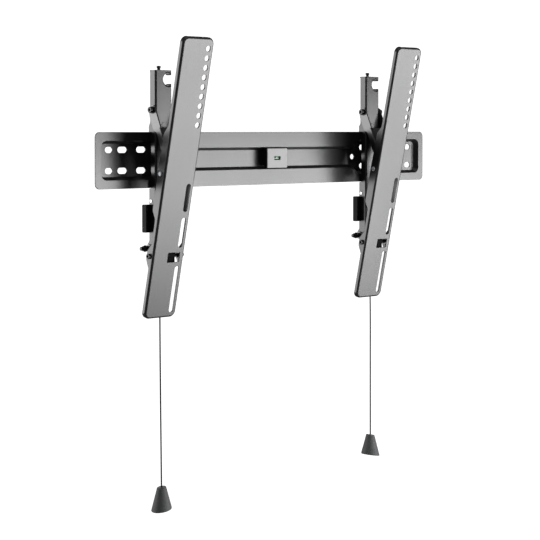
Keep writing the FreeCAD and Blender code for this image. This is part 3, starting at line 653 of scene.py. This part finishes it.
class GeometryTree:
    """A geometry node tree being built, with named inputs and one way to add nodes."""

    def __init__(self, name, inputs):
        self.tree = bpy.data.node_groups.new(name, "GeometryNodeTree")
        face = self.tree.interface
        face.new_socket("Geometry", in_out="OUTPUT", socket_type="NodeSocketGeometry")
        for label, kind in inputs.items():
            face.new_socket(label, in_out="INPUT", socket_type=kind)
        self.given = self.tree.nodes.new("NodeGroupInput").outputs

    def node(self, kind, inputs, **settings):
        """Adds a node and returns its first output."""
        made = self.tree.nodes.new(kind)
        for key, value in settings.items():
            setattr(made, key, value)
        for key, value in inputs.items():
            if isinstance(value, bpy.types.NodeSocket):
                self.tree.links.new(value, made.inputs[key])
            else:
                made.inputs[key].default_value = value
        return made.outputs[0]

    def finish(self, shape, material):
        """Makes the result real, smooth and coated."""
        real = self.node("GeometryNodeRealizeInstances", {"Geometry": shape})
        smooth = self.node("GeometryNodeSetShadeSmooth", {"Geometry": real})
        coat = {"Geometry": smooth, "Material": material}
        coated = self.node("GeometryNodeSetMaterial", coat)
        result = self.tree.nodes.new("NodeGroupOutput")
        self.tree.links.new(coated, result.inputs["Geometry"])
        return self.tree


def thread_tree(material):
    """Geometry nodes that repeat a fine ridge along a line to make a screw thread."""
    inputs = {
        "Start": "NodeSocketVector",
        "Step": "NodeSocketVector",
        "Count": "NodeSocketInt",
        "Radius": "NodeSocketFloat",
        "Crest": "NodeSocketFloat",
    }
    thread = GeometryTree("screw_thread", inputs)
    given = thread.given
    line = thread.node(
        "GeometryNodeMeshLine",
        {
            "Count": given["Count"],
            "Start Location": given["Start"],
            "Offset": given["Step"],
        },
        mode="OFFSET",
    )
    circle = "GeometryNodeCurvePrimitiveCircle"
    ring = thread.node(circle, {"Resolution": 28, "Radius": given["Radius"]})
    crest = thread.node(circle, {"Resolution": 5, "Radius": given["Crest"]})
    ridge = thread.node(
        "GeometryNodeCurveToMesh", {"Curve": ring, "Profile Curve": crest}
    )
    repeated = thread.node(
        "GeometryNodeInstanceOnPoints", {"Points": line, "Instance": ridge}
    )
    return thread.finish(repeated, material)


def coil_tree(material):
    """Geometry nodes that wind a wire along a helix to make a coil spring."""
    inputs = {
        "Foot": "NodeSocketVector",
        "Turns": "NodeSocketFloat",
        "Radius": "NodeSocketFloat",
        "Height": "NodeSocketFloat",
        "Wire": "NodeSocketFloat",
    }
    coil = GeometryTree("coil_spring", inputs)
    given = coil.given
    helix = coil.node(
        "GeometryNodeCurveSpiral",
        {
            "Resolution": 32,
            "Rotations": given["Turns"],
            "Start Radius": given["Radius"],
            "End Radius": given["Radius"],
            "Height": given["Height"],
        },
    )
    section = coil.node(
        "GeometryNodeCurvePrimitiveCircle", {"Resolution": 12, "Radius": given["Wire"]}
    )
    wound = coil.node(
        "GeometryNodeCurveToMesh",
        {"Curve": helix, "Profile Curve": section, "Fill Caps": True},
    )
    placed = coil.node(
        "GeometryNodeTransform", {"Geometry": wound, "Translation": given["Foot"]}
    )
    return coil.finish(placed, material)


def repeated_mesh(name, tree, values):
    """The plain mesh that a geometry tree makes from the given named inputs."""
    carrier = bpy.data.objects.new(name, bpy.data.meshes.new(name + "_seed"))
    bpy.context.scene.collection.objects.link(carrier)
    modifier = carrier.modifiers.new("repeat", "NODES")
    modifier.node_group = tree
    sockets = {
        item.name: item.identifier
        for item in tree.interface.items_tree
        if item.in_out == "INPUT"
    }
    for key, value in values.items():
        modifier[sockets[key]] = value
    carrier.update_tag()
    bpy.context.view_layer.update()
    depsgraph = bpy.context.evaluated_depsgraph_get()
    mesh = bpy.data.meshes.new_from_object(carrier.evaluated_get(depsgraph))
    bpy.data.objects.remove(carrier)
    return mesh


class BRACKET_OT_coat_parts(bpy.types.Operator):
    """Give the pressed steel, pins, bolts and mouldings their finishes"""

    bl_idname = "bracket.coat_parts"
    bl_label = "Coat the steel and mouldings"

    def execute(self, context):
        looks = context.scene.bracket_finishes
        coat = powder_coat(looks)
        glossy = powder_coat(looks, "link_coat", shine=1.0)
        zinc = zinc_plate(looks)
        black = blackened_steel(looks)
        latch = moulded_plastic(
            "latch_plastic",
            looks.latch_plastic,
            roughness=0.70,
            grain=1800.0,
            relief=0.2,
            shine=0.15,
        )
        level = moulded_plastic(
            "level_plastic",
            looks.level,
            roughness=0.45,
            grain=1500.0,
            relief=0.06,
            shine=0.3,
        )
        coat_node("wall_plate", coat)
        coat_node("level_housing", latch)
        coat_node("level_face", level)
        for side in SIDES:
            for name in POWDER_COATED:
                coat_node(f"{side}_{name}", coat)
            for name in GLOSSY_COATED:
                coat_node(f"{side}_{name}", glossy)
            for name in ZINC_PLATED:
                coat_node(f"{side}_{name}", zinc)
            for name in BLACKENED:
                coat_node(f"{side}_{name}", black)
            coat_node(f"{side}_latch_block", latch)
        return {"FINISHED"}


class BRACKET_OT_pull_cords(bpy.types.Operator):
    """Hang a braided cord with its cone handle from each latch"""

    bl_idname = "bracket.pull_cords"
    bl_label = "Pull cords and handles"

    def execute(self, context):
        sizes = context.scene.bracket_sizes
        looks = context.scene.bracket_finishes
        braid = braided_cord(looks, sizes.braid_pitch)
        moulding = moulded_plastic(
            "handle_plastic",
            looks.handle,
            roughness=0.58,
            grain=1400.0,
            relief=0.25,
            shine=0.15,
        )
        for side in SIDES:
            middle = BRACKET_X[side]
            foot = (HANDLE_AXIS_Y, HANDLE_TOP[side] - HANDLE_INSERT)
            places = zip(CORD_DRIFT[side], (*CORD_ROUTE, foot))
            route = [Vector((middle + drift, y, z)) for drift, (y, z) in places]
            handle = self.handle(side, sizes, moulding)
            line = spline_line(route)
            name = f"{side}_cord_braid"
            mesh = tube_mesh(name, line, sizes.cord_diameter / 2)
            cord = finished_mesh(name, mesh, braid, f"{side}_latch")
            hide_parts(f"{side}_pull_cord")
        return {"FINISHED"}

    def handle(self, side, sizes, material):
        """A cone with a bore for the cord, a hollow foot and a slanted top and foot."""
        top = HANDLE_TOP[side]
        bottom = top - sizes.handle_height
        wide = sizes.handle_bottom_radius
        narrow = sizes.handle_top_radius
        bore = sizes.cord_diameter / 2 + BORE_CLEARANCE
        hollow = bottom + HANDLE_HOLLOW
        corners = [
            (bore, top - BORE_DEPTH, 0),
            (bore, top, 0.0004),
            (narrow, top, 0.0009),
            (wide, bottom + 0.0010, 0.0006),
            (wide - 0.0006, bottom, 0.0004),
            (wide - 0.0032, bottom, 0.0005),
            (wide - 0.0042, hollow, 0.0005),
            (0.0004, hollow, 0),
        ]
        outline = []
        for i, (radius, height, bend) in enumerate(corners):
            if bend:
                before, after = corners[i - 1][:2], corners[i + 1][:2]
                outline += round_corner((radius, height), before, after, bend)
            else:
                outline.append(Vector((radius, height)))
        centre = (BRACKET_X[side] + CORD_DRIFT[side][-1], HANDLE_AXIS_Y)
        mesh = closed_mesh(f"{side}_cone", lambda shape: lathe(shape, outline, centre))
        lean = sizes.handle_lean if side == "right" else -sizes.handle_lean
        for vertex in mesh.vertices:
            vertex.co.z -= (vertex.co.x - centre[0]) * lean
        cone = finished_mesh(f"{side}_cone", mesh, material, f"{side}_latch")
        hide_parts(f"{side}_pull_handle")
        return cone


class BRACKET_OT_level_vial(bpy.types.Operator):
    """Fill the level with its fluid, bubble and reading lines"""

    bl_idname = "bracket.level_vial"
    bl_label = "Level vial"

    def execute(self, context):
        sizes = context.scene.bracket_sizes
        looks = context.scene.bracket_finishes
        low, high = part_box("level_vial")
        centre = (low + high) / 2
        radius = (high.z - low.z) / 2
        half = (high.x - low.x) / 2
        fluid = level_fluid(looks)
        tube = closed_mesh(
            "vial_tube", lambda shape: self.barrel(shape, centre, radius, half)
        )
        vial = finished_mesh("vial_tube", tube, fluid, "wall_plate")
        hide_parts("level_vial")
        length = sizes.bubble_length
        air = closed_mesh(
            "vial_bubble", lambda shape: self.bubble(shape, centre, radius, length)
        )
        finished_mesh("vial_bubble", air, air_bubble(), "wall_plate")
        ink = moulded_plastic(
            "reading_line",
            (0.01, 0.01, 0.01, 1.0),
            roughness=0.4,
            grain=900.0,
            relief=0.1,
        )
        for name, side in (("first", -1), ("second", 1)):
            spot = centre + Vector((side * (length / 2 + LINE_GAP), 0, 0))
            band = closed_mesh(
                f"reading_line_{name}",
                lambda shape, spot=spot: self.band(shape, spot, radius + LINE_RISE),
            )
            finished_mesh(f"reading_line_{name}", band, ink, "wall_plate")
        return {"FINISHED"}

    def barrel(self, shape, centre, radius, half):
        """The vial itself, with bevelled ends."""
        corner = radius * 0.45
        outline = [(AXIS_RADIUS, -half), (radius - corner, -half)]
        outline += [(radius, -half + corner), (radius, half - corner)]
        outline += [(radius - corner, half), (AXIS_RADIUS, half)]
        lathe(shape, outline, segments=48)
        lay_along_x(shape, centre)

    def bubble(self, shape, centre, radius, length):
        """A drop that lies high in the vial and shows through its front."""
        bmesh.ops.create_uvsphere(shape, u_segments=32, v_segments=16, radius=1.0)
        size = Matrix.Diagonal((length / 2, radius * 0.42, radius * 0.40, 1.0))
        forward, up = radius * 0.66, radius * 0.42
        place = Matrix.Translation(centre + Vector((0, -forward, up)))
        bmesh.ops.transform(shape, matrix=place @ size, verts=shape.verts)

    def band(self, shape, spot, radius):
        """One reading line, as a flat ring round the vial."""
        inner, half = radius - LINE_DEPTH, LINE_HALF_WIDTH
        outline = [(inner, -half), (radius, -half), (radius, half), (inner, half)]
        lathe(shape, outline, segments=48)
        lay_along_x(shape, spot)


class BRACKET_OT_latch_springs(bpy.types.Operator):
    """Wind the coil springs that push the latches up again"""

    bl_idname = "bracket.latch_springs"
    bl_label = "Latch springs"

    def execute(self, context):
        zinc = bpy.data.materials["zinc_plate"]
        tree = coil_tree(zinc)
        wire = SPRING_WIRE_RADIUS
        for side in SIDES:
            low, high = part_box(f"{side}_latch_spring")
            height = high.z - low.z
            middle = (low + high) / 2
            values = {
                "Foot": Vector((middle.x, middle.y, low.z + wire)),
                "Turns": SPRING_TURNS,
                "Radius": (high.y - low.y) / 2 - wire,
                "Height": height - 2 * wire,
                "Wire": wire,
            }
            name = f"{side}_return_coil"
            mesh = repeated_mesh(name, tree, values)
            coil = finished_mesh(name, mesh, zinc, f"{side}_bracket")
            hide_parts(f"{side}_latch_spring")
            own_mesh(coil)
        return {"FINISHED"}


class BRACKET_OT_lower_fittings(bpy.types.Operator):
    """Add the lock nuts on the lower studs and the guards behind the windows"""

    bl_idname = "bracket.lower_fittings"
    bl_label = "Lower lock nuts and guards"

    def execute(self, context):
        black = bpy.data.materials["blackened_steel"]
        looks = context.scene.bracket_finishes
        plastic = moulded_plastic(
            "guard_plastic",
            looks.latch_plastic,
            roughness=0.85,
            grain=1800.0,
            relief=0.2,
            shine=0.04,
        )
        for side in SIDES:
            stud_low, stud_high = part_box(f"{side}_lower_bracket_bolt")
            nut_low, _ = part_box(f"{side}_lower_bracket_nut")
            seat = (stud_low + stud_high) / 2
            seat.x = nut_low.x
            name = f"{side}_lock_nut"
            mesh = closed_mesh(
                name, lambda shape, seat=seat: self.lock_nut(shape, seat), smooth=False
            )
            finished_mesh(name, mesh, black, f"{side}_bracket")
            bolt_low, bolt_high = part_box(f"{side}_lower_arm_bolt")
            axis = (bolt_low + bolt_high) / 2
            axis.x = BRACKET_X[side]
            name = f"{side}_bolt_guard"
            mesh = closed_mesh(
                name, lambda shape, axis=axis: self.guard(shape, axis), smooth=False
            )
            finished_mesh(name, mesh, plastic, f"{side}_arm")
        return {"FINISHED"}

    def lock_nut(self, shape, seat):
        """A hexagon, its round collar and the stud's end, outwards from the nut."""
        start, bevel = 0.0, LOCK_NUT_BEVEL
        for radius, end, sides in LOCK_NUT_STEPS:
            outline = [(AXIS_RADIUS, start), (radius - bevel, start)]
            outline += [(radius, start + bevel), (radius, end - bevel)]
            outline += [(radius - bevel, end), (AXIS_RADIUS, end)]
            lathe(shape, outline, segments=sides)
            start = end
        lay_along_x(shape, seat, -math.pi / 2)

    def guard(self, shape, axis):
        """A moulded sleeve round the lower arm bolt with two tongues below it."""
        first, last = GUARD_ENDS
        inner, outer = GUARD_RADII
        outline = [(inner, first), (outer, first), (outer, last), (inner, last)]
        outline.append(outline[0])
        lathe(shape, outline, segments=40, capped=False)
        lay_along_x(shape, axis)
        for edges in GUARD_TONGUES:
            self.tongue(shape, axis, *edges)

    def tongue(self, shape, axis, first, last, foot):
        """A flat strip that hangs from the sleeve and ends in two round corners."""
        corner, steps = TONGUE_CORNER, 5
        flat = [(first, TONGUE_TOP), (last, TONGUE_TOP)]
        for middle, start in ((last - corner, 0.0), (first + corner, -math.pi / 2)):
            for i in range(steps + 1):
                angle = start - math.pi / 2 * i / steps
                x = middle + corner * math.cos(angle)
                flat.append((x, foot + corner + corner * math.sin(angle)))
        front, back = (
            [shape.verts.new(axis + Vector((x, y, z))) for x, z in flat]
            for y in TONGUE_FACES
        )
        shape.faces.new(front)
        shape.faces.new(back)
        for i in range(len(flat)):
            j = (i + 1) % len(flat)
            shape.faces.new((front[i], front[j], back[j], back[i]))


class BRACKET_OT_threads(bpy.types.Operator):
    """Put fine threads on the height screws"""

    bl_idname = "bracket.threads"
    bl_label = "Screw threads"

    def execute(self, context):
        pitch = context.scene.bracket_sizes.thread_pitch
        black = bpy.data.materials["blackened_steel"]
        tree = thread_tree(black)
        for side in SIDES:
            low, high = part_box(f"{side}_height_screw")
            centre = (low + high) / 2
            values = {
                "Start": Vector((centre.x, centre.y, low.z + THREAD_START)),
                "Step": Vector((0, 0, pitch)),
                "Count": int((high.z - low.z - PLAIN_LENGTH) / pitch),
                "Radius": THREAD_RADIUS,
                "Crest": THREAD_CREST_RADIUS,
            }
            name = f"{side}_height_thread"
            mesh = repeated_mesh(name, tree, values)
            finished_mesh(name, mesh, black, f"{side}_screw")
        return {"FINISHED"}


class BRACKET_OT_studio(bpy.types.Operator):
    """Set the pale floor, the soft lights and the camera"""

    bl_idname = "bracket.studio"
    bl_label = "Studio"

    def execute(self, context):
        setup = context.scene.bracket_studio
        self.floor(setup.floor_height)
        for name, place, width, height, power, share in SOFTBOXES:
            self.softbox(name, place, width, height, getattr(setup, power) * share)
        world = bpy.data.worlds.new("studio_air")
        world.use_nodes = True
        background = world.node_tree.nodes["Background"]
        background.inputs["Color"].default_value = (1.0, 1.0, 1.0, 1.0)
        background.inputs["Strength"].default_value = STUDIO_AIR_STRENGTH
        context.scene.world = world
        context.scene.view_settings.view_transform = "Standard"
        self.camera(context.scene, setup)
        return {"FINISHED"}

    def floor(self, height):
        """A round floor that curves up into a backdrop on every side."""
        flat, bend, steps = FLOOR_RADIUS, BACKDROP_BEND, 12
        outline = [(0.001, height), (flat, height)]
        for i in range(1, steps + 1):
            angle = math.pi / 2 * i / steps
            rise = bend * (1 - math.cos(angle))
            outline.append((flat + bend * math.sin(angle), height + rise))
        outline.append((flat + bend, height + BACKDROP_HEIGHT))
        shape = bmesh.new()
        lathe(shape, outline, capped=False)
        for face in shape.faces:
            face.smooth = True
        mesh = bpy.data.meshes.new("floor")
        shape.to_mesh(mesh)
        shape.free()
        mesh.materials.append(pale_floor())
        floor = bpy.data.objects.new("floor", mesh)
        floor.visible_glossy = False
        floor.visible_diffuse = False
        bpy.context.scene.collection.objects.link(floor)

    def softbox(self, name, place, width, height, power):
        data = bpy.data.lights.new(name, "AREA")
        data.shape = "RECTANGLE"
        data.size = width
        data.size_y = height
        data.energy = power
        light = bpy.data.objects.new(name, data)
        light.location = place
        aim = Vector((0.0, 0.0, min(place[2], 0.0))) - Vector(place)
        light.rotation_euler = aim.to_track_quat("-Z", "Y").to_euler()
        bpy.context.scene.collection.objects.link(light)

    def camera(self, scene, setup):
        data = bpy.data.cameras.new("photo_camera")
        data.sensor_width = SENSOR_WIDTH
        data.lens = FOCAL_LENGTH
        data.shift_y = LENS_SHIFT
        camera = bpy.data.objects.new("photo_camera", data)
        around, reach = setup.azimuth, math.cos(setup.elevation)
        back = Vector(
            (
                math.sin(around) * reach,
                -math.cos(around) * reach,
                math.sin(setup.elevation),
            )
        )
        camera.location = Vector(CAMERA_AIM) + back * setup.distance
        camera.rotation_euler = (-back).to_track_quat("-Z", "Y").to_euler()
        scene.collection.objects.link(camera)
        scene.camera = camera


class BRACKET_PT_looks(bpy.types.Panel):
    """The bracket's pieces, sizes and finishes"""

    bl_idname = "BRACKET_PT_looks"
    bl_label = "Wall bracket"
    bl_space_type = "VIEW_3D"
    bl_region_type = "UI"
    bl_category = "Bracket"

    def draw(self, context):
        layout = self.layout
        groups = (
            context.scene.bracket_sizes,
            context.scene.bracket_finishes,
            context.scene.bracket_studio,
        )
        for group in groups:
            column = layout.column(align=True)
            for name in group.__annotations__:
                column.prop(group, name)
        for operator in OPERATORS:
            layout.operator(operator.bl_idname)


OPERATORS = (
    BRACKET_OT_coat_parts,
    BRACKET_OT_pull_cords,
    BRACKET_OT_level_vial,
    BRACKET_OT_latch_springs,
    BRACKET_OT_lower_fittings,
    BRACKET_OT_threads,
    BRACKET_OT_studio,
)
GROUPS = {
    "bracket_sizes": BracketSizes,
    "bracket_finishes": BracketFinishes,
    "bracket_studio": StudioSetup,
}


def register():
    for name, group in GROUPS.items():
        bpy.utils.register_class(group)
        setattr(bpy.types.Scene, name, bpy.props.PointerProperty(type=group))
    for item in (*OPERATORS, BRACKET_PT_looks):
        bpy.utils.register_class(item)


def unregister():
    for item in reversed((*OPERATORS, BRACKET_PT_looks)):
        bpy.utils.unregister_class(item)
    for name, group in GROUPS.items():
        delattr(bpy.types.Scene, name)
        bpy.utils.unregister_class(group)


def main():
    register()
    bpy.ops.bracket.coat_parts()
    bpy.ops.bracket.pull_cords()
    bpy.ops.bracket.level_vial()
    bpy.ops.bracket.latch_springs()
    bpy.ops.bracket.lower_fittings()
    bpy.ops.bracket.threads()
    bpy.ops.bracket.studio()


if __name__ == "__main__":
    main()
